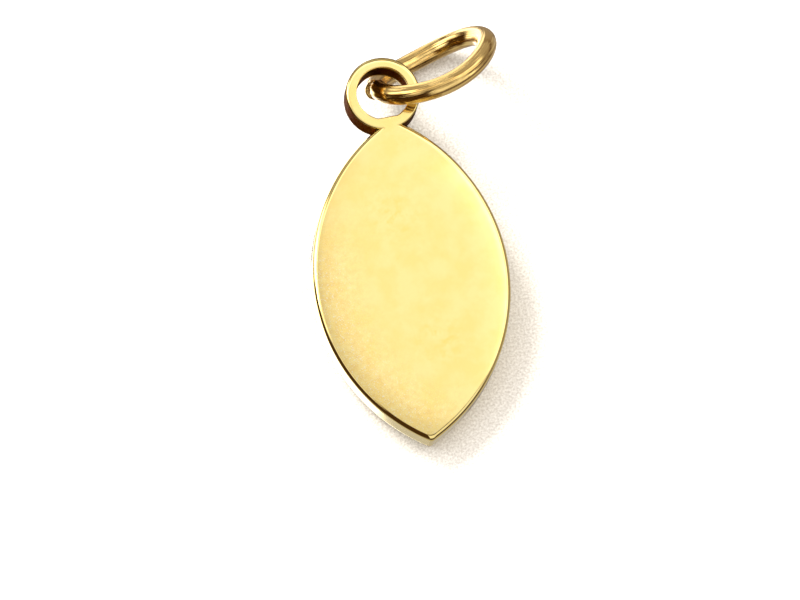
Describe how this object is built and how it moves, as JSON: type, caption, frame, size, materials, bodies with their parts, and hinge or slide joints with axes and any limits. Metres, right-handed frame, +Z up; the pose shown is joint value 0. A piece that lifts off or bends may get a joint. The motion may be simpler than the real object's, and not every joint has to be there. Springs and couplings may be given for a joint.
{
  "type": "eye pendant",
  "caption": "Flat polished metal charm with the outline of an eye, hung from a round-wire jump ring through its loop.",
  "frame": {"origin": "under the middle of the whole pendant's outline, on the surface that it lies on", "axes": "the pendant lies face up as pictured, propped by its ring: +Z up from the surface, +Y along the eye towards its loop, +X to the right seen from above"},
  "size_m": [0.0102, 0.0204, 0.0054],
  "materials": {
    "plate_gold": "mirror-polished faces with softly rounded edges, pale gold plating",
    "wire_gold": "drawn round wire, polished, warmer gold plating with faint lengthwise streaks"
  },
  "bodies": {
    "plate": {"eye_plate": "plate_gold"},
    "ring": {"jump_ring": "wire_gold"}
  },
  "joints": [
    {"name": "ring_swing", "type": "hinge", "parent": "plate", "child": "ring", "pos_m": [0.00085, 0.00663, 0.00288], "axis": [0, -0.9922, -0.125], "range_deg": [0, 90]}
  ]
}
